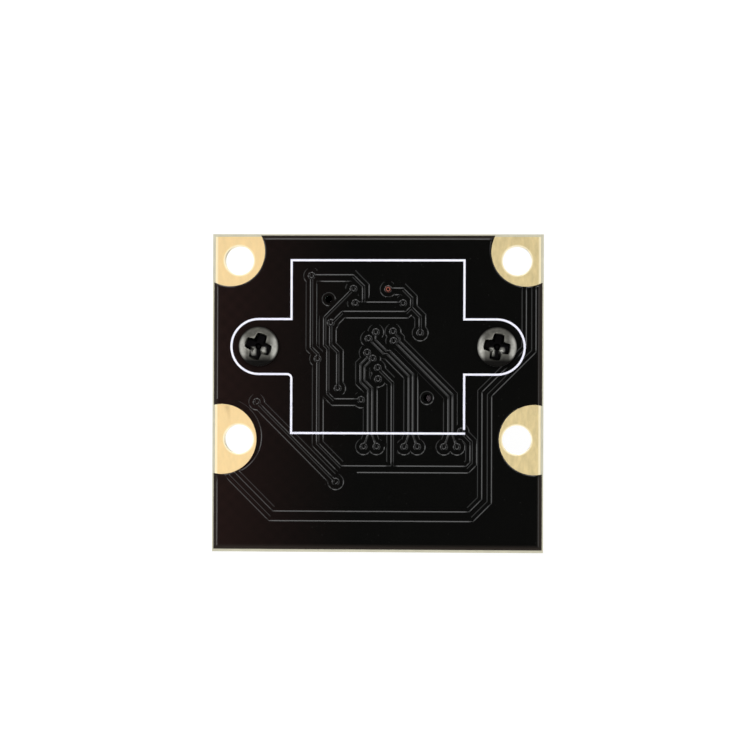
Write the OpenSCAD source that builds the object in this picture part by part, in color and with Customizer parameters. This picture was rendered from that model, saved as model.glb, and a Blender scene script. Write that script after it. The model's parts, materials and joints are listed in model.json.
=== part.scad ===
// Camera board module: a square circuit board seen from behind, with a screw-in lens
// in a plastic holder on its front. The origin is the centre of the four mounting
// holes on the laminate's rear face. +X runs to the right as the rear is looked at,
// +Z is up, and +Y points out of the front, along the lens axis.

/* [Board] */
// Width of the board
board_w = 25; // [24.5:0.5:30]
// Thickness of the laminate
board_t = 1; // [0.6:0.1:2]

/* [Mounting holes] */
// Diameter of a plated mounting hole
hole_d = 2.2; // [1.6:0.1:2.6]
// Distance from a hole's axis to the side and top edges
hole_edge = 2; // [1.8:0.1:2.2]
// Distance between the upper and lower rows
hole_rows = 13.5; // [12.2:0.1:15]
// Distance from the lower row to the board's bottom edge
foot_h = 8.5; // [7.7:0.1:14]
// Thickness of the plating on a hole's wall
plating_t = 0.03; // [0.02:0.01:0.1]

/* [Contact pads] */
// Height of a pad's copper and gold above the laminate
pad_t = 0.04; // [0.03:0.01:0.1]
// Radius of the corner pads round the upper holes
corner_pad_r = 2.63; // [2.2:0.05:2.8]
// Distance of a corner pad's centre from its hole, outwards and upwards
corner_pad_shift = 0.68; // [0.4:0.02:0.9]
// Radius of the half-round pads at the lower holes
side_pad_r = 2.65; // [2.2:0.05:2.7]
// Distance of a half-round pad's centre from its hole, outwards
side_pad_shift = 1.3; // [0.9:0.05:1.4]
// Bare laminate between a pad and the board's edge
pad_inset = 0.2; // [0.1:0.05:0.4]
// Diameter of the round lands on the front
front_land_d = 3.6; // [3:0.1:3.7]

/* [Solder mask] */
// Thickness of the rear mask over copper
mask_t = 0.05; // [0.045:0.005:0.08]
// Depth of the relief where the copper under the mask ends
relief = 0.03; // [0.015:0.005:0.04]
// Bare laminate between the mask and the side and top edges
mask_margin = 0.1; // [0.05:0.01:0.2]
// Bare laminate between the mask and the bottom edge
bottom_margin = 0.2; // [0.05:0.01:0.3]
// Distance from the mask's edge to the copper's edge under it
copper_inset = 0.22; // [0.1:0.01:0.3]
// Thickness of the front mask
front_mask_t = 0.03; // [0.02:0.005:0.035]
// Depth of the vias' dimples in the front mask
dimple_depth = 0.015; // [0.005:0.005:0.015]

/* [Tracks] */
// Width of a supply track that feeds the outer pads
power_w = 0.48; // [0.3:0.02:0.6]
// Width of a plain track
track_w = 0.25; // [0.15:0.01:0.28]
// Width of each track in a signal pair
pair_w = 0.16; // [0.1:0.01:0.2]
// Spacing of the two tracks in a pair
pair_pitch = 0.32; // [0.26:0.01:0.34]
// Spacing of the two vias at a pair's lower end
pair_spread = 0.98; // [0.9:0.01:1.1]
// Height over which a pair spreads to its lower vias
pair_fan = 0.9; // [0.7:0.05:1.1]
// Height of the supply track's low run above the bottom edge
supply_rise = 2.87; // [2.6:0.01:3.2]
// Size of the slanting corner at the end of the low run
supply_turn = 1.07; // [0.8:0.01:1.4]
// Gap between a track and the copper around it
track_gap = 0.25; // [0.15:0.01:0.27]
// Gap between a supply pad and the copper around it
pad_gap = 0.2; // [0.15:0.01:0.4]
// Shift of the copper under the mask against the pads' openings, to the right
copper_shift_x = 0.14; // [0:0.01:0.14]
// Shift of the copper under the mask against the pads' openings, upwards
copper_shift_z = 0.18; // [0:0.01:0.18]
// Diameter of a via's land
via_land_d = 0.6; // [0.5:0.02:0.7]
// Diameter of the dimple in a filled via
via_dimple_d = 0.2; // [0.12:0.01:0.26]
// Width of the trench round a via's land
via_gap = 0.26; // [0.18:0.01:0.3]

/* [Alignment holes] */
// Diameter of the two bare holes beside the sensor
align_d = 0.56; // [0.3:0.02:0.6]
// Distance of each alignment hole from their common centre, along each edge direction
align_offset = 3.72; // [3.6:0.02:3.9]
// Height of the alignment holes' centre below the lens axis
align_drop = 0.13; // [0:0.01:0.2]
// Width of the copper-free ring round an alignment hole
align_ring = 0.18; // [0.1:0.02:0.25]

/* [Printed outline] */
// Width of the white printed line
print_w = 0.16; // [0.1:0.01:0.2]
// Thickness of the ink
print_t = 0.015; // [0.01:0.005:0.03]
// Break in the line at the lower right corner
print_break = 0.2; // [0.1:0.02:0.4]
// Radius of the line's bend under the left ear
print_bend = 0.4; // [0.25:0.05:0.6]

/* [Lens holder] */
// Height of the lens axis above the centre of the mounting holes
lens_rise = 0.25; // [0:0.05:0.4]
// Side of the square base
holder_w = 12.9; // [12.7:0.1:13]
// Distance between the two screw ears
ear_pitch = 18; // [17.6:0.1:18.2]
// Radius of an ear's end
ear_r = 2; // [1.8:0.05:2.1]
// Height of an ear
ear_t = 3.4; // [3.2:0.1:4]
// Height of the square base
base_h = 4.4; // [4.1:0.1:5]
// Height of the holder to the top of its tower
holder_h = 8; // [7.6:0.1:8.2]
// Outer diameter of the round tower
tower_d = 14; // [13.8:0.1:14.6]
// Side of the square cavity over the sensor
cavity_w = 11; // [10.4:0.1:11.4]
// Height of the cavity
cavity_h = 2.6; // [2.4:0.1:2.7]
// Height of the filter's pocket above the cavity
filter_pocket_h = 0.34; // [0.32:0.02:0.4]
// Thickness of the shelf between the filter and the lens bore
shelf_t = 0.5; // [0.4:0.05:0.6]
// Diameter of the window through the shelf
window_d = 8; // [6:0.5:8.5]

/* [Filter] */
// Side of the square infrared filter
filter_w = 9; // [8.6:0.1:9.6]
// Thickness of the filter
filter_t = 0.3; // [0.2:0.02:0.3]
// Gap round the filter in its pocket
filter_fit = 0.1; // [0.05:0.01:0.2]

/* [Holder screws] */
// Diameter of a screw's head
screw_head_d = 3; // [2.6:0.1:3.4]
// Height of the head
screw_head_h = 0.95; // [0.85:0.05:1.2]
// Height of the head's straight rim
screw_rim_h = 0.3; // [0.2:0.05:0.4]
// Outer diameter of the thread
screw_d = 1.7; // [1.4:0.1:1.8]
// Length under the head
screw_len = 4; // [3.4:0.1:4.2]
// Clearance hole in the board, beyond the thread
screw_hole_fit = 0.15; // [0.1:0.05:0.3]
// Gap between the thread and its pilot hole, on radius
pilot_fit = 0.02; // [0.01:0.01:0.05]
// Span of the cross recess, at the height of the head's top
recess_span = 2.4; // [2:0.1:2.6]
// Span of the recess at its floor
recess_floor_span = 1.7; // [1.4:0.1:1.9]
// Width of the recess's arms, at the height of the head's top
recess_w = 1; // [0.7:0.05:1.1]
// Width of the arms at their floor
recess_floor_w = 0.5; // [0.4:0.05:0.6]
// Depth of the recess's arms
recess_depth = 0.6; // [0.4:0.05:0.7]
// Depth of the recess's point
recess_point = 0.9; // [0.8:0.05:1.2]
// Angle to which the left screw is driven
left_turn = 20; // [0:1:90]
// Angle to which the right screw is driven
right_turn = 11; // [0:1:90]

/* [Lens] */
// Diameter of the focusing thread
thread_d = 12; // [11.8:0.05:12.1]
// Running gap of the focusing thread, on radius
thread_fit = 0.04; // [0.02:0.01:0.08]
// Gap between the shelf and the barrel at rest
barrel_lift = 0.85; // [0.7:0.05:1]
// Gap between the tower and the barrel's head at rest
focus_gap = 1; // [0.8:0.05:1.2]
// Diameter of the barrel's head
head_d = 14; // [13.6:0.1:16]
// Length of the barrel's head
head_len = 5.5; // [5:0.1:7]
// Number of grip flutes round the head
flutes = 24; // [12:2:36]
// Radius of a flute
flute_r = 0.35; // [0.2:0.05:0.45]
// Distance of the flutes from the head's rear edge
flute_start = 1; // [0.4:0.1:1.2]
// Length of the flutes
flute_len = 3.6; // [2:0.1:4.2]
// Bevel at the head's front edge
head_bevel = 0.4; // [0.2:0.05:0.6]

/* [Optics] */
// Gap between a lens element and the barrel
glass_fit = 0.03; // [0.02:0.01:0.06]
// Thickness of the lip behind the rear element
rear_lip = 0.6; // [0.4:0.05:0.8]
// Diameter of the opening in the lip
rear_open_d = 6; // [5:0.1:6.4]
// Diameter of the inner elements
inner_lens_d = 7.4; // [7:0.1:8]
// Thickness of the rear element
rear_lens_t = 2; // [1.8:0.1:2.4]
// Length of the spacer between the inner elements
spacer_len = 1; // [0.8:0.1:1.2]
// Width of the spacer's and stop's ring
spacer_wall = 0.8; // [0.5:0.1:1.2]
// Thickness of the middle element
middle_lens_t = 1.4; // [1.3:0.1:1.7]
// Thickness of the aperture stop
stop_t = 0.3; // [0.2:0.05:0.4]
// Diameter of the aperture
stop_d = 3; // [2:0.1:4]
// Diameter of the front element
front_lens_d = 10; // [9.4:0.1:10.4]
// Thickness of the front element at its rim
front_rim_t = 1.2; // [1:0.1:1.5]
// Depth of the front seat below the barrel's front face
front_seat = 3.2; // [2.9:0.1:3.5]
// Radius of the front element's outer curve
front_curve_r = 8; // [7:0.5:12]
// Radius of the front element's inner curve
front_hollow_r = 5; // [4:0.5:7]
// Depth of the front element's hollow
front_hollow = 0.9; // [0.6:0.1:1.1]
// Radius of curve of the rear element's faces
rear_curve_r = 15; // [10:1:20]
// Radius of curve of the middle element's hollow faces
middle_curve_r = 12; // [10:1:16]
// Depth of the middle element's hollows
middle_hollow = 0.2; // [0.1:0.05:0.3]
// Outer diameter of the retaining ring
ring_d = 10.9; // [10.7:0.1:11.2]
// Width of the retaining ring's face
ring_wall = 1.1; // [0.9:0.1:1.3]
// Length of the retaining ring
ring_len = 1.2; // [0.8:0.1:1.4]

/* [Sensor] */
// Width of the sensor package
sensor_w = 5.6; // [5:0.1:6]
// Height of the sensor package
sensor_h = 4.8; // [4.2:0.1:5]
// Thickness of the silicon and its base
sensor_t = 0.4; // [0.3:0.05:0.6]
// Thickness of the sensor's cover glass
cover_t = 0.4; // [0.3:0.05:0.6]
// Width left bare round the cover glass
cover_inset = 0.1; // [0.05:0.05:0.2]

/* [Flat cable connector] */
// Number of contacts
contacts = 15; // [11:1:15]
// Spacing of the contacts
contact_pitch = 1; // [0.9:0.05:1]
// Width of a contact
contact_w = 0.3; // [0.2:0.02:0.4]
// Thickness of a contact's metal
contact_t = 0.15; // [0.1:0.01:0.2]
// Length of a contact's tail behind the housing
tail_len = 0.6; // [0.4:0.05:0.7]
// Gap between a contact and the housing
contact_fit = 0.02; // [0.01:0.01:0.04]
// Gap between the connector's mouth and the board's bottom edge
mouth_inset = 0.1; // [0:0.05:0.4]
// Depth of the connector, mouth to back
conn_depth = 5.4; // [5.2:0.1:5.5]
// Height of the housing
conn_h = 2.5; // [2.3:0.1:3]
// Thickness of the housing's floor
conn_floor = 0.5; // [0.3:0.05:0.6]
// Height of the cable cavity
conn_slot_h = 1.25; // [1.2:0.05:1.3]
// Thickness of the housing's back wall
conn_back = 0.8; // [0.6:0.05:1]
// Thickness of the walls beside the cable
conn_wall = 0.5; // [0.4:0.05:0.7]
// Cavity width beyond the outer contacts, on each side
cable_edge = 0.6; // [0.5:0.05:0.7]

/* [Cable latch] */
// Depth of the latch's bar at the mouth
bar_depth = 1.2; // [1:0.05:1.4]
// Height of the cable's way between the contacts and the tongue
cable_gap = 0.3; // [0.25:0.01:0.35]
// Thickness of the tongue that presses the cable
tongue_t = 0.5; // [0.4:0.05:0.6]
// Length of the tongue
tongue_len = 2.5; // [2:0.1:3]
// Thickness of the side arms
arm_t = 0.9; // [0.7:0.05:1]
// Length of the side arms
arm_len = 3; // [2.4:0.1:3.1]
// Height of the arms above the lands, and below the housing's top
arm_lift = 0.4; // [0.2:0.05:0.5]
// Sliding gap round the latch
latch_fit = 0.08; // [0.05:0.01:0.12]
// Travel of the latch until its catches stop it
latch_travel = 1; // [0.8:0.05:1.1]
// Reach of the catch on each arm
catch_reach = 0.25; // [0.15:0.05:0.35]
// Length of a catch
catch_len = 0.5; // [0.3:0.05:0.7]
// Height of a catch
catch_h = 0.7; // [0.5:0.1:0.9]
// Thickness of the housing's outer end walls
end_wall = 0.6; // [0.5:0.05:0.7]
// Thickness of a hold-down tab
tab_t = 0.2; // [0.15:0.01:0.25]
// Width of a hold-down tab
tab_w = 2; // [1.5:0.1:3]
// Reach of a hold-down tab beyond the housing
tab_reach = 0.7; // [0.5:0.05:0.9]

/* [Small parts] */
// Thickness of a solder land
land_t = 0.04; // [0.035:0.005:0.06]
// Margin of a land round the metal that stands on it
land_margin = 0.05; // [0.02:0.01:0.08]
// Length of a chip capacitor or resistor
chip_l = 1; // [0.8:0.05:1.1]
// Width of a chip capacitor or resistor
chip_w = 0.5; // [0.4:0.05:0.6]
// Thickness of a chip capacitor
cap_t = 0.5; // [0.4:0.05:0.6]
// Thickness of a chip resistor
res_t = 0.35; // [0.3:0.05:0.4]
// Length of a chip's metal end
chip_end = 0.25; // [0.15:0.05:0.3]
// Length of a regulator's body
reg_l = 2; // [1.8:0.05:2.1]
// Width of a regulator's body
reg_w = 1.2; // [1.1:0.05:1.3]
// Thickness of a regulator's body
reg_t = 0.8; // [0.7:0.05:1]
// Height of a regulator's body above its lands
reg_lift = 0.1; // [0.05:0.01:0.15]
// Reach of a regulator's leads beyond its body
lead_reach = 0.4; // [0.3:0.02:0.45]
// Spacing of a regulator's leads
lead_pitch = 0.65; // [0.5:0.01:0.7]
// Width of a regulator's leads
lead_w = 0.25; // [0.2:0.01:0.3]
// Thickness of a regulator's leads
lead_t = 0.12; // [0.1:0.01:0.15]
// Length of the oscillator
osc_l = 2.5; // [2:0.1:2.6]
// Width of the oscillator
osc_w = 2; // [1.6:0.1:2]
// Thickness of the oscillator's ceramic base
osc_base_t = 0.45; // [0.3:0.05:0.6]
// Thickness of the oscillator's metal lid
osc_lid_t = 0.3; // [0.2:0.05:0.4]
// Border of the base round the lid
osc_border = 0.15; // [0.1:0.05:0.2]
// Gap between neighbouring parts in a row
chip_gap = 0.6; // [0.5:0.05:0.8]
// Spacing of the capacitors along the top edge
top_pitch = 3; // [2:0.1:4]
// Spacing of the chips beside the sensor
cavity_pitch = 2.2; // [1.6:0.1:2.4]

/* [Hidden] */
$fn = 64;
BIG = 60; // longer than any cut
CUT = 1; // how far a cut runs past a face, or a joined shape into its neighbour

// Heights and places that the pieces share
side_hole = board_w / 2 - hole_edge;
row_z = hole_rows / 2;
board_top = row_z + hole_edge;
board_bottom = -row_z - foot_h;
board_h = board_top - board_bottom;
lens_z = lens_rise;
front_y = board_t + front_mask_t;
seat_y = board_t + land_t;
holder_bottom = lens_z - holder_w / 2;
holder_top = lens_z + holder_w / 2;
mouth_z = board_bottom + mouth_inset;
conn_back_z = mouth_z + conn_depth;

// ---------- flat outlines, drawn in (x, z) ----------

// A plate between two depths, with its outline given in (x, z)
module plate(y0, y1) {
    translate([0, y1, 0]) rotate([90, 0, 0]) linear_extrude(y1 - y0) children();
}

// The board's outline, drawn in by given margins
module board_outline(side = 0, bottom = 0) {
    translate([-board_w / 2 + side, board_bottom + bottom])
        square([board_w - 2 * side, board_h - side - bottom]);
}

module at_mounting_holes() {
    for (x = [-side_hole, side_hole], z = [-row_z, row_z]) translate([x, z]) children();
}

module at_screws() {
    for (s = [-1, 1]) translate([s * ear_pitch / 2, lens_z]) children();
}

module at_alignment_holes() {
    for (s = [-1, 1])
        translate([s * align_offset, lens_z - align_drop - s * align_offset]) children();
}

// One pad's circle, grown by a margin: upper pads sit in the corners, lower ones on the edge
module corner_pad(s, grow = 0) {
    shift = corner_pad_shift;
    translate([s * (side_hole + shift), row_z + shift]) circle(r = corner_pad_r + grow);
}

module side_pad(s, grow = 0) {
    translate([s * (side_hole + side_pad_shift), -row_z]) circle(r = side_pad_r + grow);
}

module pad_circles() {
    for (s = [-1, 1]) {
        corner_pad(s);
        side_pad(s);
    }
}

// The two pads that carry the supply are cut off from the copper around them
module supply_trenches() {
    translate([copper_shift_x, copper_shift_z]) {
        side_pad(-1, pad_gap);
        corner_pad(1, pad_gap);
    }
}

// ---------- tracks ----------

function unit(v) = v / norm(v);
function left_of(v) = [-v.y, v.x];
// Half-width offset of a path at its corner i, mitred between the two runs that meet there
function mitre(path, i, w) =
    let (last = len(path) - 1,
         a = unit(path[min(i + 1, last)] - path[min(i, last - 1)]),
         b = unit(path[max(i, 1)] - path[max(i - 1, 0)]),
         m = unit(left_of(a) + left_of(b)))
    m * w / 2 / (m * left_of(a));

module band(path, w) {
    n = len(path);
    polygon(concat(
        [for (i = [0 : n - 1]) path[i] + mitre(path, i, w)],
        [for (i = [n - 1 : -1 : 0]) path[i] - mitre(path, i, w)]));
}

// A run that turns by 45 degrees from one straight line to another: the corner between
// a vertical at x and the diagonal x + z = s or x - z = s
function on_fall(x, s) = [x, s - x];
function on_rise(x, s) = [x, x - s];

// Supply track from the left side pad, along the bottom, to the right corner pad.
// The places of all tracks are measured from the lens axis.
supply_x = 8.08;
supply_z = board_bottom + supply_rise - lens_z;
upper_x = side_hole + 0.9;
left_pad_x = -side_hole - side_pad_shift;
// The straight lines that its two long slanting runs lie on
left_fall = left_pad_x - row_z - lens_z - 1.82;
high_rise = 11.56;
supply_track = [
    on_fall(left_pad_x + 0.7, left_fall),
    [left_fall - supply_z, supply_z],
    [supply_x - supply_turn, supply_z],
    [supply_x, supply_z + supply_turn],
    on_rise(supply_x, high_rise),
    on_rise(upper_x, high_rise),
    [upper_x, row_z - lens_z]
];

// Plain tracks inside and below the holder's outline. A path that starts or ends on
// another track has no via there: branch_ends lists those ends.
return_z = -9.08;
branch_ends = [[-1.08, 3.29], [2.55, 2.99], [1.12, return_z]];
plain_tracks = [
    [[-1.08, 3.29], [-1.08, 4.55], [-1.88, 5.35], [-5.02, 5.35], [-5.02, -0.08],
     [-4.52, -0.58], [-4.52, -7.32], [-2.76, return_z], [6.72, return_z], [7.07, -8.73],
     [7.07, -7.15], [6.3, -6.38]],
    [[-1.85, 4.37], [-4.02, 2.2], [-4.02, 0.1], [-3.77, -0.15], [-3.77, -3.55],
     [-3.3, -4.02], [-1.25, -4.02]],
    [[-3.02, -3.15], [-3.02, -0.42], [-3.56, 0.12], [-3.56, 1.71], [-2.68, 2.59],
     [2.15, 2.59], [2.55, 2.99]],
    [[0.77, 4.35], [1.89, 4.35], [2.55, 3.69], [2.55, 2.94], [3.2, 2.29], [3.2, 1.05]],
    [[-1.7, 3.29], [1.9, 3.29]],
    [[0, -1.6], [1.12, -2.72], [1.12, return_z]],
    [[-9.15, -4.2], [-3.15, -10.2]]
];

// Signal pairs run from the sensor down to the flat cable connector. Each entry is the
// pair's two upper vias, the first track's way down and the spacing of its two lower vias.
pair_end_z = -7.55;
half_pitch = pair_pitch / 2;
middle_pair_x = 2.51;
right_pair_x = 5.51;
left_pair_x = -0.56;
function pair_foot(x, s) = [
    [x + s * half_pitch, pair_end_z + pair_fan],
    [x + s * pair_spread / 2, pair_end_z]
];
diag = pair_pitch * sqrt(2);
pair_tracks = [
    concat([[-0.7, 0.6], [0.45, -0.55], [0.7, -0.55],
            on_fall(middle_pair_x - half_pitch, 0.15)], pair_foot(middle_pair_x, -1)),
    concat([[-0.15, 1.1], [-0.15, 0.5], [0.67, -0.32], [0.92, -0.32],
            on_fall(middle_pair_x + half_pitch, 0.15 + diag)], pair_foot(middle_pair_x, 1)),
    concat([[1.2, 0.43], on_fall(right_pair_x - half_pitch, 1.6)],
           pair_foot(right_pair_x, -1)),
    concat([[1.15, 1.15], [1.65, 0.65], [1.65, 0.4],
            on_fall(right_pair_x + half_pitch, 1.6 + diag)], pair_foot(right_pair_x, 1)),
    concat([[-0.8, -0.45], [-0.8, -0.82], [-1.3, -1.32], [-1.3, -2.67],
            [left_pair_x - half_pitch, -3.25]], pair_foot(left_pair_x, -1)),
    concat([[-0.38, -0.9], [-0.98, -1.5], [-0.98, -2.54],
            [left_pair_x + half_pitch, -3.12]], pair_foot(left_pair_x, 1))
];

// A via stands at both ends of each plain track and each pair track, where it changes side
lone_vias = [[0.03, -2.45], [-3.56, 1.8], [-4.55, -0.93], [-5.02, 5.35]];
// Vias that tie the ground area to the front, seen only as dimples
ground_vias = [
    [-5.86, -2.3], [-3.13, -6], [-1.9, -9.5], [0.92, -11.2], [6.96, -11], [7.7, 4.75],
    [6.96, -3.8], [3.94, -7.55], [0.45, -7.3]
];
function ends(path) = [path[0], path[len(path) - 1]];
via_places = concat(
    [for (t = plain_tracks, e = ends(t)) if (search([e], branch_ends) == [[]]) e],
    [for (t = pair_tracks, e = ends(t)) e],
    lone_vias);

module all_bands(grow) {
    translate([0, lens_z]) {
        band(supply_track, power_w + grow);
        for (t = plain_tracks) band(t, track_w + grow);
        for (t = pair_tracks) band(t, pair_w + grow);
    }
}

module at_vias() {
    for (p = via_places) translate([p.x, lens_z + p.y]) children();
}

module at_dimples() {
    for (p = concat(via_places, ground_vias)) translate([p.x, lens_z + p.y]) children();
}

// Copper that lifts the mask: the ground area with its trenches, and the tracks in them
module copper_area() {
    difference() {
        board_outline(mask_margin + copper_inset, bottom_margin + copper_inset);
        all_bands(2 * track_gap);
        at_vias() circle(d = via_land_d + 2 * via_gap, $fn = 32);
        for (x = [left_pair_x, middle_pair_x, right_pair_x])
            translate([x, lens_z + pair_end_z + via_land_d / 2]) circle(r = track_gap, $fn = 32);
        supply_trenches();
    }
    all_bands(0);
    at_vias() circle(d = via_land_d, $fn = 32);
}

// ---------- board ----------

module pcb() {
    color("#c9c39c") plate(0, board_t) difference() {
        board_outline();
        at_mounting_holes() circle(d = hole_d + 2 * plating_t);
        at_screws() circle(d = screw_d + 2 * screw_hole_fit);
        at_alignment_holes() circle(d = align_d, $fn = 32);
    }
}

module rear_openings() {
    pad_circles();
    at_screws() circle(d = screw_d + 2 * screw_hole_fit);
    at_alignment_holes() circle(d = align_d, $fn = 32);
}

module rear_solder_mask() {
    color("#120d0c") {
        plate(relief - mask_t, 0) difference() {
            board_outline(mask_margin, bottom_margin);
            rear_openings();
        }
        plate(-mask_t, relief - mask_t) difference() {
            copper_area();
            rear_openings();
            at_alignment_holes() circle(d = align_d + 2 * align_ring, $fn = 32);
            at_dimples() circle(d = via_dimple_d, $fn = 24);
        }
    }
}

module front_solder_mask() {
    color("#0e0b0b") difference() {
        plate(board_t, front_y) difference() {
            board_outline(mask_margin, bottom_margin);
            at_mounting_holes() circle(d = front_land_d);
            at_screws() circle(d = screw_d + 2 * screw_hole_fit);
            at_alignment_holes() circle(d = align_d, $fn = 32);
            land_outlines();
        }
        plate(front_y - dimple_depth, front_y + CUT) at_dimples()
            circle(d = via_dimple_d, $fn = 24);
    }
}

// Each mounting hole's two lands and the plated wall between them are one piece of metal
module plated_pads() {
    color("#e9cf8c") difference() {
        union() {
            plate(-pad_t, 0) intersection() {
                pad_circles();
                board_outline(pad_inset, pad_inset);
            }
            plate(0, board_t) at_mounting_holes() circle(d = hole_d + 2 * plating_t);
            plate(board_t, board_t + pad_t) intersection() {
                at_mounting_holes() circle(d = front_land_d);
                board_outline(pad_inset, pad_inset);
            }
        }
        plate(-BIG, BIG) at_mounting_holes() circle(d = hole_d);
    }
}

// The holder's footprint, grown by a margin: a square with a round-ended ear on each side
module holder_footprint(grow = 0) {
    translate([0, lens_z]) {
        square(holder_w + 2 * grow, center = true);
        square([ear_pitch, 2 * (ear_r + grow)], center = true);
        for (s = [-1, 1]) translate([s * ear_pitch / 2, 0]) circle(r = ear_r + grow);
    }
}

// What fills the inner corner under the left ear, so that the line bends there
module ear_corner(grow) {
    r = print_bend - grow;
    translate([-holder_w / 2 - print_bend, lens_z - ear_r - print_bend]) difference() {
        square(r + CUT / 10);
        circle(r = r);
    }
}

module rear_silkscreen() {
    color("#f4f4ff") plate(-mask_t - print_t, -mask_t) difference() {
        union() {
            holder_footprint(print_w);
            ear_corner(print_w);
        }
        holder_footprint();
        ear_corner(0);
        translate([holder_w / 2, holder_bottom]) square([2 * print_w, print_break]);
    }
}

// ---------- lens holder and what it covers ----------

module lens_holder() {
    shelf_h = cavity_h + filter_pocket_h;
    bore_h = shelf_h + shelf_t;
    pocket_w = filter_w + 2 * filter_fit;
    color("#161616") difference() {
        union() {
            plate(front_y, front_y + base_h) translate([0, lens_z])
                square(holder_w, center = true);
            plate(front_y, front_y + ear_t) holder_footprint();
            plate(front_y + bore_h, front_y + holder_h) translate([0, lens_z])
                circle(d = tower_d, $fn = 96);
        }
        plate(front_y - CUT, front_y + cavity_h) translate([0, lens_z])
            square(cavity_w, center = true);
        plate(front_y, front_y + shelf_h) translate([0, lens_z])
            square(pocket_w, center = true);
        plate(front_y, front_y + holder_h) translate([0, lens_z]) circle(d = window_d);
        plate(front_y + bore_h, BIG) translate([0, lens_z])
            circle(d = thread_d + 2 * thread_fit, $fn = 96);
        plate(front_y - CUT, screw_len - mask_t + pilot_fit) at_screws()
            circle(d = screw_d + 2 * pilot_fit);
    }
}

module ir_cut_filter() {
    top = front_y + cavity_h + filter_pocket_h;
    color("#9fd8d2", 0.5) plate(top - filter_t, top) translate([0, lens_z])
        square(filter_w, center = true);
}

// Two tapered slots that cross, with sloping ends, over a point at the centre
module cross_recess() {
    intersection() {
        for (a = [0, 90]) rotate([90, 0, a]) linear_extrude(recess_span, center = true)
            polygon([[-recess_floor_w / 2, -recess_depth], [recess_floor_w / 2, -recess_depth],
                     [recess_w / 2, 0], [recess_w / 2, CUT],
                     [-recess_w / 2, CUT], [-recess_w / 2, 0]]);
        union() {
            translate([0, 0, -recess_depth])
                cylinder(d1 = recess_floor_span, d2 = recess_span, h = recess_depth);
            cylinder(d = recess_span, h = CUT);
        }
    }
    translate([0, 0, -recess_point])
        cylinder(d1 = recess_floor_w / 2, d2 = recess_w, h = recess_point);
}

// A pan head with a cross recess, standing out of the rear face
module screw(turn) {
    head_r = screw_head_d / 2;
    rise = screw_head_h - screw_rim_h;
    dome_r = (head_r * head_r + rise * rise) / (2 * rise);
    rotate([90, 0, 0]) difference() {
        union() {
            cylinder(r = head_r, h = screw_rim_h);
            intersection() {
                cylinder(r = head_r, h = screw_head_h);
                translate([0, 0, screw_head_h - dome_r]) sphere(r = dome_r);
            }
            translate([0, 0, -screw_len]) cylinder(d = screw_d, h = screw_len);
        }
        translate([0, 0, screw_head_h]) rotate(-turn) cross_recess();
    }
}

module holder_screws() {
    color("#3b3b38") {
        translate([-ear_pitch / 2, -mask_t, lens_z]) screw(left_turn);
        translate([ear_pitch / 2, -mask_t, lens_z]) screw(right_turn);
    }
}

module image_sensor() {
    color("#5a4a6a") plate(front_y, front_y + sensor_t) translate([0, lens_z])
        square([sensor_w, sensor_h], center = true);
}

module sensor_cover_glass() {
    y0 = front_y + sensor_t;
    color("#c8d8e0", 0.5) plate(y0, y0 + cover_t) translate([0, lens_z])
        square([sensor_w - 2 * cover_inset, sensor_h - 2 * cover_inset], center = true);
}

// ---------- lens ----------

barrel_rear = front_y + cavity_h + filter_pocket_h + shelf_t + barrel_lift;
shoulder_y = front_y + holder_h + focus_gap;
barrel_front = shoulder_y + head_len;
seat_front = barrel_front - front_seat;
rear_lens_y = barrel_rear + rear_lip + glass_fit;
spacer_y = rear_lens_y + rear_lens_t;
middle_lens_y = spacer_y + spacer_len;
stop_y = middle_lens_y + middle_lens_t;
front_lens_y = seat_front + glass_fit;
ring_y = front_lens_y + front_rim_t;

// A turned piece on the lens axis: its profile is drawn in (radius, depth along +Y)
module turned() {
    translate([0, 0, lens_z]) rotate([-90, 0, 0]) rotate_extrude($fn = 96) children();
}

// A rectangle in a turned profile
module sleeve(r0, r1, y0, y1) {
    translate([r0, y0]) square([r1 - r0, y1 - y0]);
}

module lens_barrel() {
    color("#1b1b1d") difference() {
        turned() difference() {
            union() {
                sleeve(0, thread_d / 2, barrel_rear, shoulder_y + CUT);
                polygon([[0, shoulder_y], [head_d / 2, shoulder_y],
                         [head_d / 2, barrel_front - head_bevel],
                         [head_d / 2 - head_bevel, barrel_front], [0, barrel_front]]);
            }
            sleeve(-CUT, rear_open_d / 2, barrel_rear - CUT, barrel_front);
            sleeve(-CUT, inner_lens_d / 2 + glass_fit, barrel_rear + rear_lip, barrel_front);
            sleeve(-CUT, front_lens_d / 2 + glass_fit, seat_front, barrel_front + CUT);
            sleeve(-CUT, ring_d / 2, ring_y, barrel_front + CUT);
        }
        for (i = [0 : flutes - 1])
            translate([0, 0, lens_z]) rotate([0, i * 360 / flutes, 0])
                translate([head_d / 2, shoulder_y + flute_start, 0]) rotate([-90, 0, 0])
                    cylinder(r = flute_r, h = flute_len, $fn = 24);
    }
}

// Rear element: both faces bulge
module rear_lens() {
    curve = rear_curve_r;
    color("#b9d8e6", 0.5) turned() intersection() {
        sleeve(0, inner_lens_d / 2, rear_lens_y, rear_lens_y + rear_lens_t);
        translate([0, rear_lens_y + curve]) circle(r = curve, $fn = 256);
        translate([0, rear_lens_y + rear_lens_t - curve]) circle(r = curve, $fn = 256);
    }
}

// Middle element: both faces are hollow
module middle_lens() {
    curve = middle_curve_r;
    color("#b9d8e6", 0.5) turned() difference() {
        sleeve(0, inner_lens_d / 2, middle_lens_y, middle_lens_y + middle_lens_t);
        translate([0, middle_lens_y + middle_hollow - curve]) circle(r = curve, $fn = 256);
        translate([0, middle_lens_y + middle_lens_t - middle_hollow + curve])
            circle(r = curve, $fn = 256);
    }
}

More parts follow.
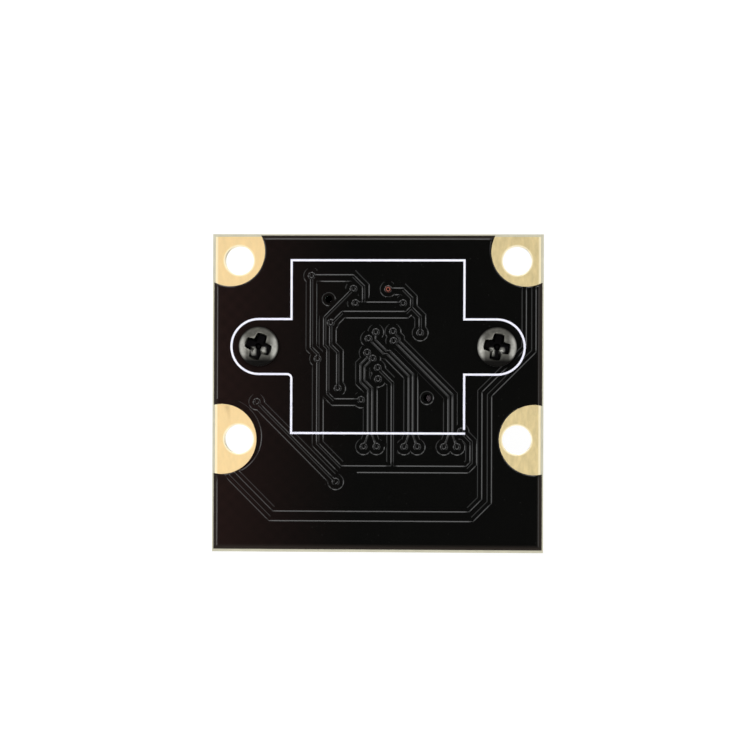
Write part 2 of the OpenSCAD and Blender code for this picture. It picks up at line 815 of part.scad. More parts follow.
// Front element: a dome inside the retaining ring, over a hollow inner face
module front_lens() {
    r = front_lens_d / 2;
    dome_edge = ring_d / 2 - ring_wall - glass_fit;
    dome_y = ring_y - sqrt(pow(front_curve_r, 2) - pow(dome_edge, 2));
    hollow_y = front_lens_y + front_hollow - front_hollow_r;
    color("#8fb8d8", 0.5) turned() difference() {
        union() {
            sleeve(0, r, front_lens_y, ring_y);
            intersection() {
                sleeve(0, dome_edge, front_lens_y, barrel_front + BIG);
                translate([0, dome_y]) circle(r = front_curve_r, $fn = 256);
            }
        }
        translate([0, hollow_y]) circle(r = front_hollow_r, $fn = 256);
    }
}

module lens_spacer() {
    r = inner_lens_d / 2;
    color("#202020") turned() sleeve(r - spacer_wall, r, spacer_y, spacer_y + spacer_len);
}

module aperture_stop() {
    color("#101010") turned() sleeve(stop_d / 2, inner_lens_d / 2, stop_y, stop_y + stop_t);
}

module lens_retaining_ring() {
    r = ring_d / 2;
    color("#222224") turned() sleeve(r - ring_wall, r, ring_y, ring_y + ring_len);
}

// ---------- flat cable connector ----------

cable_half = (contacts - 1) * contact_pitch / 2 + contact_w / 2 + cable_edge;
wall_out = cable_half + conn_wall;
pocket_out = wall_out + arm_t + 2 * latch_fit;
end_out = pocket_out + end_wall;
slot_top = conn_floor + conn_slot_h;
tongue_h = conn_floor + 2 * contact_t + cable_gap;
body_v = bar_depth + latch_fit;
arm_back_v = bar_depth + arm_len + latch_fit;
catch_v = bar_depth + arm_len - catch_len;

// A block in the connector's own directions: u across, v back from the mouth,
// h above the solder lands
module block(u0, u1, v0, v1, h0, h1) {
    translate([u0, seat_y + h0, mouth_z + v0]) cube([u1 - u0, h1 - h0, v1 - v0]);
}

module mirrored() {
    for (s = [0, 1]) mirror([s, 0, 0]) children();
}

module at_contacts() {
    for (i = [0 : contacts - 1])
        translate([(i - (contacts - 1) / 2) * contact_pitch, 0, 0]) children();
}

module ffc_housing() {
    half = contact_w / 2 + contact_fit;
    mid_h = conn_h / 2;
    color("#d9d2bd") difference() {
        union() {
            block(-end_out, end_out, body_v, conn_depth, 0, conn_h);
            block(-cable_half, cable_half, latch_fit, body_v + CUT, 0, conn_floor);
        }
        block(-cable_half, cable_half, 0, conn_depth - conn_back, conn_floor, slot_top);
        mirrored() {
            block(wall_out, pocket_out, 0, arm_back_v, -CUT, conn_h + CUT);
            block(wall_out, pocket_out + catch_reach, catch_v - latch_travel - latch_fit,
                  arm_back_v, mid_h - catch_h / 2 - latch_fit, mid_h + catch_h / 2 + latch_fit);
        }
        at_contacts() block(-half, half, 0, conn_depth + CUT, conn_floor,
                            conn_floor + contact_t + contact_fit);
    }
}

// A spring finger on the cavity's floor, led out through the back wall and down to its land
module ffc_contacts() {
    half = contact_w / 2;
    tail = conn_depth + contact_fit;
    tip = body_v + contact_w;
    bump = tip + contact_w;
    color("#cfc8a8") at_contacts() {
        block(-half, half, tip, tail + contact_t, conn_floor, conn_floor + contact_t);
        block(-half, half, bump, bump + contact_w, conn_floor, conn_floor + 2 * contact_t);
        block(-half, half, tail, tail + contact_t, 0, conn_floor + contact_t);
        block(-half, half, tail, conn_depth + tail_len, 0, contact_t);
    }
}

module ffc_latch() {
    arm_in = wall_out + latch_fit;
    arm_out = arm_in + arm_t;
    mid_h = conn_h / 2;
    arm_tip = bar_depth + arm_len;
    color("#2a2422") {
        block(-arm_out, arm_out, 0, bar_depth, tongue_h, conn_h - latch_fit);
        block(-cable_half + latch_fit, cable_half - latch_fit, 0, bar_depth + tongue_len,
              tongue_h, min(tongue_h + tongue_t, slot_top - latch_fit));
        mirrored() {
            block(cable_half + latch_fit, arm_out, 0, bar_depth, latch_fit, tongue_h);
            block(arm_in, arm_out, 0, arm_tip, arm_lift, conn_h - arm_lift);
            block(arm_in, arm_out + catch_reach, catch_v, arm_tip,
                  mid_h - catch_h / 2, mid_h + catch_h / 2);
        }
    }
}

// Bent metal tabs that hold the housing's ends to the board
tab_v = (body_v + conn_depth - tab_w) / 2;
module ffc_solder_tabs() {
    color("#c8c8c4") mirrored() {
        block(end_out, end_out + tab_t, tab_v, tab_v + tab_w, 0, conn_h / 2);
        block(end_out, end_out + tab_reach, tab_v, tab_v + tab_w, 0, tab_t);
    }
}

// ---------- small parts on the front ----------

// Free strips between the holder, the lands and the connector
strip_top = (holder_top + board_top) / 2;
strip_low_h = holder_bottom - conn_back_z - tail_len;
strip_low = holder_bottom - strip_low_h / 2;
strip_upper_side = (lens_z + ear_r + row_z - front_land_d / 2) / 2;
strip_lower_side = (lens_z - ear_r - row_z + front_land_d / 2) / 2;
side_mid = (holder_w + board_w) / 4;
ring_place = (sensor_h + cavity_w) / 4;

// The row in the low strip runs from end to end, clear of the lower holes' lands: the
// oscillator, a regulator, the resistors and two capacitors
chip_step = chip_w + chip_gap;
low_end = side_hole - front_land_d / 2 - (chip_step - chip_w / 2) / 2;
osc_x = -low_end + osc_l / 2;
low_reg_x = osc_x + (osc_l + reg_l) / 2 + chip_gap;
first_res_x = low_reg_x + reg_l / 2 + chip_step;
res_z = strip_low - (strip_low_h - chip_l) / 4;

// [x, z, turned upright]
cap_places = [
    for (i = [-1.5 : 1.5]) [i * top_pitch, strip_top, 0],
    for (i = [-1 : 1]) [i * cavity_pitch, lens_z - ring_place, 0],
    for (s = [-1, 1], i = [-0.5, 0.5])
        [s * side_mid + i * chip_step, strip_lower_side, 1],
    for (i = [0, 1]) [low_end - i * chip_step, strip_low, 1]
];
res_places = [
    for (x = [first_res_x : chip_step : low_end - 2 * chip_step]) [x, res_z, 1],
    for (i = [-1 : 1]) [i * cavity_pitch, lens_z + ring_place, 0]
];
reg_places = [
    [-side_mid, strip_upper_side], [side_mid, strip_upper_side], [low_reg_x, strip_low]
];
osc_place = [osc_x, strip_low];

module at_places(places) {
    for (p = places) translate([p.x, 0, p.y]) rotate([0, 90 * p.z, 0]) children();
}

// A block centred on a part's place, standing on the lands
module pillar(l, w, y0, y1) {
    translate([-l / 2, seat_y + y0, -w / 2]) cube([l, y1 - y0, w]);
}

module chip_ends(t) {
    for (s = [-1, 1]) translate([s * (chip_l - chip_end) / 2, 0, 0])
        pillar(chip_end, chip_w, 0, t);
}

module capacitors() {
    color("#b08a5c") at_places(cap_places)
        pillar(chip_l - 2 * chip_end, chip_w, 0, cap_t);
}

module capacitor_ends() {
    color("#d0d0cc") at_places(cap_places) chip_ends(cap_t);
}

module resistors() {
    color("#17171a") at_places(res_places)
        pillar(chip_l - 2 * chip_end, chip_w, 0, res_t);
}

module resistor_ends() {
    color("#d0d0cc") at_places(res_places) chip_ends(res_t);
}

module at_regulators() {
    for (p = reg_places) translate([p.x, 0, p.y]) children();
}

module regulator_bodies() {
    color("#1a1a1c") at_regulators() pillar(reg_l, reg_w, reg_lift, reg_lift + reg_t);
}

// Five leads: three below the body and two above it
module at_leads() {
    for (i = [-1, 0, 1]) translate([i * lead_pitch, 0, 0]) children();
    for (i = [-1, 1]) translate([i * lead_pitch, 0, 0]) mirror([0, 0, 1]) children();
}

module lead() {
    mid = reg_lift + reg_t / 2;
    z0 = -reg_w / 2 - lead_reach;
    translate([-lead_w / 2, seat_y, z0]) cube([lead_w, lead_t, lead_reach]);
    translate([-lead_w / 2, seat_y, -reg_w / 2 - lead_t]) cube([lead_w, mid, lead_t]);
}

module regulator_leads() {
    color("#cfcfcb") at_regulators() at_leads() lead();
}

module at_oscillator() {
    translate([osc_place.x, 0, osc_place.y]) children();
}

module oscillator_base() {
    color("#cbb892") at_oscillator() pillar(osc_l, osc_w, 0, osc_base_t);
}

module oscillator_lid() {
    color("#c4c2b8") at_oscillator()
        pillar(osc_l - 2 * osc_border, osc_w - 2 * osc_border, osc_base_t,
               osc_base_t + osc_lid_t);
}

// ---------- solder lands ----------

module land(x, z, l, w) {
    translate([x, z]) square([l, w], center = true);
}

module chip_lands(places) {
    for (p = places) translate([p.x, p.y]) rotate(-90 * p.z) for (s = [-1, 1])
        land(s * (chip_l - chip_end) / 2, 0, chip_end + 2 * land_margin,
             chip_w + 2 * land_margin);
}

module lead_land(x, z) {
    land(x, z, lead_w + 2 * land_margin, lead_reach + 2 * land_margin);
}

module regulator_lands() {
    row = (reg_w + lead_reach) / 2;
    for (p = reg_places) translate(p) {
        for (i = [-1, 0, 1]) lead_land(i * lead_pitch, -row);
        for (i = [-1, 1]) lead_land(i * lead_pitch, row);
    }
}

module oscillator_lands() {
    l = osc_l / 3;
    w = osc_w / 3;
    for (sx = [-1, 1], sz = [-1, 1])
        land(osc_place.x + sx * (osc_l - l) / 2, osc_place.y + sz * (osc_w - w) / 2, l, w);
}

module connector_lands() {
    for (i = [0 : contacts - 1])
        land((i - (contacts - 1) / 2) * contact_pitch, conn_back_z + tail_len / 2,
             contact_w + 2 * land_margin, tail_len + land_margin);
    for (s = [-1, 1])
        land(s * (end_out + tab_reach / 2), mouth_z + tab_v + tab_w / 2,
             tab_reach, tab_w + 2 * land_margin);
}

module land_outlines() {
    chip_lands(cap_places);
    chip_lands(res_places);
    regulator_lands();
    oscillator_lands();
    connector_lands();
}

module solder_lands() {
    color("#b9b9b4") plate(board_t, seat_y) land_outlines();
}

pcb();
rear_solder_mask();
front_solder_mask();
plated_pads();
rear_silkscreen();
solder_lands();
lens_holder();
holder_screws();
ir_cut_filter();
image_sensor();
sensor_cover_glass();
lens_barrel();
front_lens();
middle_lens();
rear_lens();
lens_spacer();
aperture_stop();
lens_retaining_ring();
ffc_housing();
ffc_contacts();
ffc_latch();
ffc_solder_tabs();
oscillator_base();
oscillator_lid();
regulator_bodies();
regulator_leads();
capacitors();
capacitor_ends();
resistors();
resistor_ends();
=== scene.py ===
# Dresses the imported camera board: bevelled and detailed copies of its parts, their
# finishes, and a plain studio round them. All lengths are in metres.
import json
import math

import bmesh
import bpy
from bpy.props import FloatProperty, FloatVectorProperty, PointerProperty
from mathutils import Matrix, Vector


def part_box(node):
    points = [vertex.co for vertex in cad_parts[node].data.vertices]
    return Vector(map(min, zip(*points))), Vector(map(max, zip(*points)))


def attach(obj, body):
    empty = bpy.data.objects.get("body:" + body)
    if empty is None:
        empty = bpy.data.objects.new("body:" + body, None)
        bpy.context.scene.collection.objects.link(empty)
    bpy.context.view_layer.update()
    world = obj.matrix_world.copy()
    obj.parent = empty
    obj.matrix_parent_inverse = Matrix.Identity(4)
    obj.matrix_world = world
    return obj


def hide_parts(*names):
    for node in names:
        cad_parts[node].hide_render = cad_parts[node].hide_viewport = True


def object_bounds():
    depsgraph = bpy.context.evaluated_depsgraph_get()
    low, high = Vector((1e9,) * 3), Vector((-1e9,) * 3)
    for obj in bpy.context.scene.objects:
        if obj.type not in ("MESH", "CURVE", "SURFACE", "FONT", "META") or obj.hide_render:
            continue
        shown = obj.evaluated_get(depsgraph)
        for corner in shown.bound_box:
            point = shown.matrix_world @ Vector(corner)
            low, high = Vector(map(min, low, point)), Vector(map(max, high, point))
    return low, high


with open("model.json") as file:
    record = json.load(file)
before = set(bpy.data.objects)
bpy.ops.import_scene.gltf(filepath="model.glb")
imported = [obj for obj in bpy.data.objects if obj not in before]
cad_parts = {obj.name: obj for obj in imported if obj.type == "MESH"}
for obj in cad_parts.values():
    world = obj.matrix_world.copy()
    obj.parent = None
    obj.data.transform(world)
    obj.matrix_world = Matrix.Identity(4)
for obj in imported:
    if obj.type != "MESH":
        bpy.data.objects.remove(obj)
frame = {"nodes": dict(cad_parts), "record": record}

bl_info = {
    "name": "Camera board",
    "version": (1, 0, 0),
    "blender": (4, 5, 0),
    "location": "3D View > Sidebar > Camera board",
    "description": "Builds the looks of a square camera board round its packed parts",
    "category": "Object",
}

MM = 0.001
CAD_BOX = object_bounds()
NODES = frame["nodes"]
BODY_OF = {node: body for body, nodes in frame["record"]["behaviour"]["bodies"].items()
           for node in nodes}


def low(node):
    """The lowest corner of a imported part's box."""
    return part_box(node)[0]


def high(node):
    """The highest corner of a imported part's box."""
    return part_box(node)[1]


LENS_AXIS = (low("lens_barrel") + high("lens_barrel")) / 2

# Places on the rear face, in metres
HOLE_X, HOLE_Z = 10.5 * MM, 6.75 * MM    # the mounting holes, either side of the origin
SCREW_X = 9 * MM                         # the holder screws, level with the lens axis
ALIGNMENT_HOLES = [(LENS_AXIS.x + side * 3.72 * MM, LENS_AXIS.z - (0.13 + side * 3.72) * MM)
                   for side in (-1, 1)]

# Material slots of the rear mask while it is being shaped
FLAT, SLOPE, CROWN = 0, 1, 2


# ---------- sizes and colours that a user would change ----------

def length(name, description, value):
    """A length in metres, to a thousandth of a millimetre."""
    return FloatProperty(name=name, description=description, default=value, min=0,
                         unit="LENGTH", precision=6)


def colour(name, description, value):
    """A colour, given by its screen value from 0 to 255."""
    linear = [c / 255 / 12.92 if c / 255 <= 0.04045 else ((c / 255 + 0.055) / 1.055) ** 2.4
              for c in value]
    return FloatVectorProperty(name=name, description=description, default=linear,
                               subtype="COLOR", size=3, min=0, max=1)


class CameraBoardSizes(bpy.types.PropertyGroup):
    """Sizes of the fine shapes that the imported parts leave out"""
    mask_slope: length("Mask slope", "Width of the mask's slope where its copper ends", 7.5e-5)
    weave_pitch: length("Weave pitch", "Spacing of the glass threads in the laminate", 6e-4)
    plate_edge: length("Plating edge", "Rounding of the gold's edges", 2e-5)
    screw_edge: length("Screw edge", "Rounding of the screws' edges", 5e-5)
    moulded_edge: length("Moulded edge", "Rounding of the holder's outer edges", 1.5e-4)
    small_edge: length("Small edge", "Rounding of the connector's moulded edges", 6e-5)
    contact_edge: length("Contact edge", "Rounding of the contacts' edges", 2.5e-5)
    tab_edge: length("Tab edge", "Rounding of the hold-down tabs' edges", 4e-5)
    chip_edge: length("Chip edge", "Rounding of the chips' edges", 4e-5)
    leg_edge: length("Leg edge", "Rounding of the regulators' legs", 2e-5)
    lid_edge: length("Lid edge", "Rounding of the oscillator's lid", 1e-4)
    barrel_edge: length("Barrel edge", "Rounding of the lens barrel's edges", 8e-5)
    ring_edge: length("Ring edge", "Rounding of the retaining ring's edges", 5e-5)
    thread_pitch: length("Thread pitch", "Pitch of the focusing thread", 5e-4)
    thread_depth: length("Thread depth", "Depth of the focusing thread", 2.7e-4)


class CameraBoardColours(bpy.types.PropertyGroup):
    """Colours of the finishes"""
    mask: colour("Mask", "Solder mask on the cooler side", (7, 7, 6))
    mask_warm: colour("Warm mask", "Solder mask towards the left side", (30, 19, 17))
    mask_thin: colour("Thin mask", "Solder mask along the board's edges", (46, 41, 37))
    laminate: colour("Laminate", "Bare laminate", (203, 199, 176))
    gold: colour("Gold", "Gold plating", (243, 213, 158))
    gold_dull: colour("Dull gold", "Gold plating towards the right side", (216, 197, 148))
    gold_highlight: colour("Gold highlight", "Painted highlight along the gold's rounded edges", (252, 241, 208))
    ink: colour("Ink", "Printed outline", (240, 240, 255))
    screw: colour("Screw", "Blackened screw", (26, 25, 24))
    screw_lit: colour("Grey screw", "Screw in painted light on its upper head and lip", (104, 103, 97))
    screw_highlight: colour("Screw highlight", "Painted highlight on a screw", (204, 203, 195))
    pit: colour("Recess", "Shaded inside of a screw's cross recess", (13, 12, 13))
    holder: colour("Holder", "Moulded lens holder", (34, 34, 36))
    barrel: colour("Barrel", "Black anodised lens barrel", (38, 38, 41))
    housing: colour("Housing", "Connector housing", (226, 219, 198))
    latch: colour("Latch", "Connector latch and chip bodies", (46, 41, 39))
    tin: colour("Tin", "Solder and tinned metal", (205, 205, 202))
    copper: colour("Copper", "Bare copper in an open via", (150, 84, 70))


def sizes():
    """The sizes as they are set in the panel."""
    return bpy.context.scene.camera_board_sizes


def colours():
    """The colours as they are set in the panel."""
    return bpy.context.scene.camera_board_colours


# ---------- node trees ----------

def put(tree, kind, inputs=None, **settings):
    """Adds a shader node. An input is given by name or number, as a value or a socket."""
    made = tree.nodes.new(kind)
    for key, value in settings.items():
        setattr(made, key, value)
    for key, value in (inputs or {}).items():
        if isinstance(value, bpy.types.NodeSocket):
            tree.links.new(value, made.inputs[key])
        else:
            made.inputs[key].default_value = value
    return made


def calc(tree, operation, *values):
    """A Math node's result."""
    return put(tree, "ShaderNodeMath", dict(enumerate(values)), operation=operation).outputs[0]


def spread(tree, value, lo, hi, start=0.0, end=1.0):
    """A value from start to end, mapped to lo to hi."""
    ranged = put(tree, "ShaderNodeMapRange", {
        "Value": value, "From Min": start, "From Max": end, "To Min": lo, "To Max": hi})
    return ranged.outputs["Result"]


def blend_colours(tree, factor, first, second, blend_type="MIX"):
    """Mixes two colours, each a tuple or a socket."""
    made = put(tree, "ShaderNodeMix", data_type="RGBA", blend_type=blend_type)
    for socket, value in ((made.inputs["Factor"], factor), (made.inputs[6], first),
                          (made.inputs[7], second)):
        if isinstance(value, bpy.types.NodeSocket):
            tree.links.new(value, socket)
        elif isinstance(value, (int, float)):
            socket.default_value = value
        else:
            socket.default_value = (*value[:3], 1)
    return made.outputs[2]


def new_group(name, inputs, outputs):
    """A shader node group with named sockets, and its two end nodes."""
    tree = bpy.data.node_groups.new(name, "ShaderNodeTree")
    for label, kind, value in inputs:
        socket = tree.interface.new_socket(name=label, in_out="INPUT", socket_type=kind)
        if value is not None:
            socket.default_value = value
    for label, kind in outputs:
        tree.interface.new_socket(name=label, in_out="OUTPUT", socket_type=kind)
    return tree, tree.nodes.new("NodeGroupInput"), tree.nodes.new("NodeGroupOutput")


FLOAT, VECTOR = "NodeSocketFloat", "NodeSocketVector"


def grain_group():
    """Two sizes of mottling: a fine height for the surface and a broad tone for its colour."""
    name = "Surface grain"
    if name in bpy.data.node_groups:
        return bpy.data.node_groups[name]
    tree, start, end = new_group(
        name,
        [("Vector", VECTOR, None), ("Fine", FLOAT, 2e4), ("Broad", FLOAT, 600.0),
         ("Stretch", VECTOR, (1, 1, 1))],
        [("Height", FLOAT), ("Tone", FLOAT)])
    place = put(tree, "ShaderNodeVectorMath", {0: start.outputs["Vector"],
                                               1: start.outputs["Stretch"]},
                operation="MULTIPLY").outputs[0]
    fine = put(tree, "ShaderNodeTexNoise", {
        "Vector": place, "Scale": start.outputs["Fine"], "Detail": 3.0, "Roughness": 0.55})
    broad = put(tree, "ShaderNodeTexNoise", {
        "Vector": place, "Scale": start.outputs["Broad"], "Detail": 4.0, "Roughness": 0.6})
    tree.links.new(fine.outputs["Fac"], end.inputs["Height"])
    tree.links.new(spread(tree, broad.outputs["Fac"], 0, 1, 0.3, 0.7), end.inputs["Tone"])
    return tree


def weave_group():
    """The glass threads of a laminate, over and under each other."""
    name = "Glass weave"
    if name in bpy.data.node_groups:
        return bpy.data.node_groups[name]
    tree, start, end = new_group(
        name, [("Vector", VECTOR, None), ("Pitch", FLOAT, 6e-4)], [("Height", FLOAT)])
    parts = put(tree, "ShaderNodeSeparateXYZ", {"Vector": start.outputs["Vector"]})
    turn = calc(tree, "DIVIDE", math.pi, start.outputs["Pitch"])
    waves = [calc(tree, "SINE", calc(tree, "MULTIPLY", parts.outputs[axis], turn))
             for axis in ("X", "Z")]
    over = calc(tree, "MULTIPLY", *waves)
    slow = put(tree, "ShaderNodeTexNoise", {
        "Vector": start.outputs["Vector"], "Scale": 250.0, "Detail": 2.0})
    weight = spread(tree, slow.outputs["Fac"], 0.3, 1.0, 0.35, 0.65)
    tree.links.new(spread(tree, calc(tree, "MULTIPLY", over, weight), 0, 1, -1, 1),
                   end.inputs["Height"])
    return tree


def dust_group():
    """Specks and faint scuffs, as a mask."""
    name = "Specks"
    if name in bpy.data.node_groups:
        return bpy.data.node_groups[name]
    tree, start, end = new_group(
        name, [("Vector", VECTOR, None), ("Scale", FLOAT, 2500.0), ("Amount", FLOAT, 0.3)],
        [("Mask", FLOAT)])
    cells = put(tree, "ShaderNodeTexVoronoi", {
        "Vector": start.outputs["Vector"], "Scale": start.outputs["Scale"],
        "Randomness": 1.0})
    patches = put(tree, "ShaderNodeTexNoise", {
        "Vector": start.outputs["Vector"], "Scale": 400.0, "Detail": 2.0})
    near = spread(tree, cells.outputs["Distance"], 1, 0, 0.02, 0.12)
    where = spread(tree, patches.outputs["Fac"], 0, 1, 0.5, 0.7)
    tree.links.new(calc(tree, "MULTIPLY", calc(tree, "MULTIPLY", near, where),
                        start.outputs["Amount"]), end.inputs["Mask"])
    return tree


def use_group(tree, group, **values):
    """Adds a node group, with values or sockets for its inputs by name."""
    made = tree.nodes.new("ShaderNodeGroup")
    made.node_tree = group
    for key, value in values.items():
        if isinstance(value, bpy.types.NodeSocket):
            tree.links.new(value, made.inputs[key])
        else:
            made.inputs[key].default_value = value
    return made


class Finish:
    """One material: a Principled shader fed by grain, with places to add more."""

    def __init__(self, name, base, dark=0.8, rough=(0.4, 0.55), fine=2e4, broad=600.0,
                 stretch=(1, 1, 1), bump=1.5e-6, specks=0.0, **sockets):
        self.material = bpy.data.materials.new(name)
        self.material.use_nodes = True
        self.tree = self.material.node_tree
        self.shader = next(n for n in self.tree.nodes if n.type == "BSDF_PRINCIPLED")
        self.where = put(self.tree, "ShaderNodeTexCoord").outputs["Object"]
        grain = use_group(self.tree, grain_group(), Vector=self.where, Fine=fine,
                          Broad=broad, Stretch=stretch)
        self.height, self.tone = grain.outputs["Height"], grain.outputs["Tone"]
        self.set_colour(blend_colours(self.tree, self.tone,
                                      [c * dark for c in base[:3]], base))
        if specks:
            mask = use_group(self.tree, dust_group(), Vector=self.where,
                             Amount=specks).outputs["Mask"]
            self.set_colour(blend_colours(self.tree, mask, self.base, (0.6, 0.6, 0.58)))
        self.link("Roughness", spread(self.tree, self.tone, *rough))
        if bump:
            self.bump(self.height, bump)
        for socket, value in sockets.items():
            self.shader.inputs[socket.replace("_", " ")].default_value = value

    def link(self, socket, value):
        """Feeds one of the shader's sockets."""
        self.tree.links.new(value, self.shader.inputs[socket])

    def set_colour(self, value):
        """Feeds the base colour and keeps it, so that more can be mixed over it."""
        self.base = value
        self.link("Base Color", value)

    def bump(self, height, distance):
        """Adds relief of a given height over any that is there."""
        inputs = {"Height": height, "Distance": distance, "Strength": 1.0}
        if self.shader.inputs["Normal"].is_linked:
            inputs["Normal"] = self.shader.inputs["Normal"].links[0].from_socket
        self.link("Normal", put(self.tree, "ShaderNodeBump", inputs).outputs["Normal"])

    def axis(self, name):
        """The place along one axis, in metres."""
        return put(self.tree, "ShaderNodeSeparateXYZ", {"Vector": self.where}).outputs[name]


def distance_from(finish, x, z, mirrored=""):
    """How far a place is from a point of the rear face, and its parts across and up.
    Along a mirrored axis it is measured to the point or its image, whichever is nearer."""
    tree, parts = finish.tree, []
    for axis, value in (("X", x), ("Z", z)):
        place = finish.axis(axis)
        if axis in mirrored:
            place = calc(tree, "ABSOLUTE", place)
        parts.append(calc(tree, "SUBTRACT", place, value))
    squares = [calc(tree, "MULTIPLY", part, part) for part in parts]
    return (calc(tree, "SQRT", calc(tree, "ADD", *squares)), *parts)


def repaint(node, finish):
    """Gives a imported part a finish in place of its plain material."""
    mesh = NODES[node].data
    mesh.materials.clear()
    mesh.materials.append(finish.material)


# ---------- meshes ----------

def copy_of(node, flat=math.radians(1)):
    """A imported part's shape, with its triangles joined up into faces if they lie flat."""
    mesh = bmesh.new()
    mesh.from_mesh(NODES[node].data)
    bmesh.ops.remove_doubles(mesh, verts=mesh.verts, dist=2e-7)
    if flat:
        bmesh.ops.dissolve_limit(mesh, angle_limit=flat, use_dissolve_boundaries=False,
                                 verts=mesh.verts, edges=mesh.edges)
    return mesh


def sharp_edges(mesh, angle=math.radians(28), chosen=lambda edge: True):
    """The edges where two faces meet at more than an angle."""
    return [edge for edge in mesh.edges if edge.is_manifold and chosen(edge)
            and edge.calc_face_angle(0) > angle]


def round_edges(mesh, edges, width, segments=2):
    """Rounds edges off and returns the new faces."""
    made = bmesh.ops.bevel(mesh, geom=edges, offset=width, offset_type="OFFSET",
                           affect="EDGES", segments=segments, profile=0.5, material=-1,
                           clamp_overlap=True)["faces"]
    bmesh.ops.remove_doubles(mesh, verts=mesh.verts, dist=1e-7)
    return [face for face in made if face.is_valid]


def finish_piece(mesh, name, body, finishes, replaced=(), smooth=math.radians(35)):
    """Makes a bmesh into an object that rides on a body and wears its finishes."""
    data = bpy.data.meshes.new(name)
    mesh.to_mesh(data)
    mesh.free()
    if smooth is not None:
        data.polygons.foreach_set("use_smooth", [True] * len(data.polygons))
        data.set_sharp_from_angle(angle=smooth)
    for finish in finishes:
        data.materials.append(finish.material)
    piece = bpy.data.objects.new(name, data)
    bpy.context.scene.collection.objects.link(piece)
    if smooth is not None:
        even = piece.modifiers.new("Even shading", "WEIGHTED_NORMAL")
        even.keep_sharp = True
    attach(piece, body)
    if replaced:
        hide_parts(*replaced)
    return piece


def dress(node, name, width, finish, segments=2, smooth=math.radians(35)):
    """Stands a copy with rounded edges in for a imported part."""
    mesh = copy_of(node)
    round_edges(mesh, sharp_edges(mesh), width, segments)
    return finish_piece(mesh, name, BODY_OF[node], [finish], [node], smooth)


def turned(profile, steps, angle, climb):
    """Winds a profile of (radius, y) corners round the lens axis as it climbs along it."""
    mesh = bmesh.new()
    ring = [mesh.verts.new((LENS_AXIS.x + r, y, LENS_AXIS.z)) for r, y in profile]
    edges = [mesh.edges.new((a, b)) for a, b in zip(ring, ring[1:] + ring[:1])]
    bmesh.ops.spin(mesh, geom=ring + edges, cent=LENS_AXIS, axis=(0, 1, 0),
                   dvec=(0, climb / steps, 0), angle=angle, steps=steps, use_merge=False)
    bmesh.ops.remove_doubles(mesh, verts=mesh.verts, dist=1e-8)
    bmesh.ops.recalc_face_normals(mesh, faces=mesh.faces)
    return mesh


# ---------- board ----------

class CAMERA_BOARD_OT_laminate(bpy.types.Operator):
    """Gives the laminate its layers of glass cloth"""
    bl_idname = "camera_board.laminate"
    bl_label = "Laminate"

    def execute(self, context):
        pale = colours().laminate
        finish = Finish("Laminate", pale, dark=0.86, rough=(0.5, 0.7), fine=3e4, broad=900.0,
                        stretch=(1, 6, 1), bump=2e-6)
        cloth = 0.18 * MM
        layers = calc(finish.tree, "SINE", calc(finish.tree, "MULTIPLY", finish.axis("Y"),
                                                2 * math.pi / cloth))
        finish.set_colour(blend_colours(
            finish.tree, spread(finish.tree, layers, 0, 0.45, -1, 1), finish.base,
            [c * 0.72 for c in pale]))
        finish.bump(layers, 2e-6)
        # The laminate takes the mask's black close round each alignment hole
        for x, z in ALIGNMENT_HOLES:
            off = distance_from(finish, x, z)[0]
            near_alignment_hole = spread(finish.tree, off, 1, 0, 0.32 * MM, 0.36 * MM)
            finish.set_colour(blend_colours(finish.tree, near_alignment_hole, finish.base, colours().mask))
        repaint("pcb", finish)
        return {"FINISHED"}


def mask_finish(name, level, rough):
    """Black solder mask, warmer to the left, over the weave of the laminate."""
    cool, warm = colours().mask, colours().mask_warm
    finish = Finish(name, cool, dark=0.7, rough=rough, fine=9e3, broad=350.0, bump=4e-7,
                    specks=0.05, Specular_IOR_Level=level)
    tree = finish.tree
    x, z = finish.axis("X"), finish.axis("Z")
    weave = use_group(tree, weave_group(), Vector=finish.where,
                      Pitch=sizes().weave_pitch).outputs["Height"]
    # Warmer and lighter towards the left side
    side = spread(tree, x, 1, 0, low("pcb").x, 0.1 * low("pcb").x)
    left_warmth = calc(tree, "MULTIPLY", calc(tree, "POWER", side, 1.5),
                spread(tree, weave, 0.8, 1.15))
    finish.set_colour(blend_colours(tree, left_warmth, finish.base, warm))
    left, right = low("rear_solder_mask"), high("rear_solder_mask")
    margin = calc(tree, "MINIMUM", calc(tree, "SUBTRACT", x, left.x),
                  calc(tree, "SUBTRACT", right.x, x))
    margin = calc(tree, "MINIMUM", margin, calc(
        tree, "MINIMUM", calc(tree, "SUBTRACT", z, left.z), calc(tree, "SUBTRACT", right.z, z)))
    thin_edge_and_lit_head = spread(tree, margin, 1, 0, 0.05 * MM, 0.4 * MM)
    finish.set_colour(blend_colours(tree, thin_edge_and_lit_head, finish.base, colours().mask_thin))
    finish.bump(weave, 1.5e-6)
    return finish


# Vias under the ground copper, as (across, up) from the lens axis in millimetres: they
# show only as faint dents
GROUND_VIAS = ((-5.86, -2.3), (-3.13, -6), (-1.9, -9.5), (0.92, -11.2), (6.96, -11),
               (7.7, 4.75), (6.96, -3.8), (3.94, -7.55), (0.45, -7.3))


def cut_rim(mesh, longest):
    """Halves the crown's outer edges until none is longer than a given length."""
    while True:
        rim = [e for e in mesh.edges if e.calc_length() > longest
               and sum(f.material_index == CROWN for f in e.link_faces) == 1]
        if not rim:
            return
        bmesh.ops.subdivide_edges(mesh, edges=rim, cuts=1)


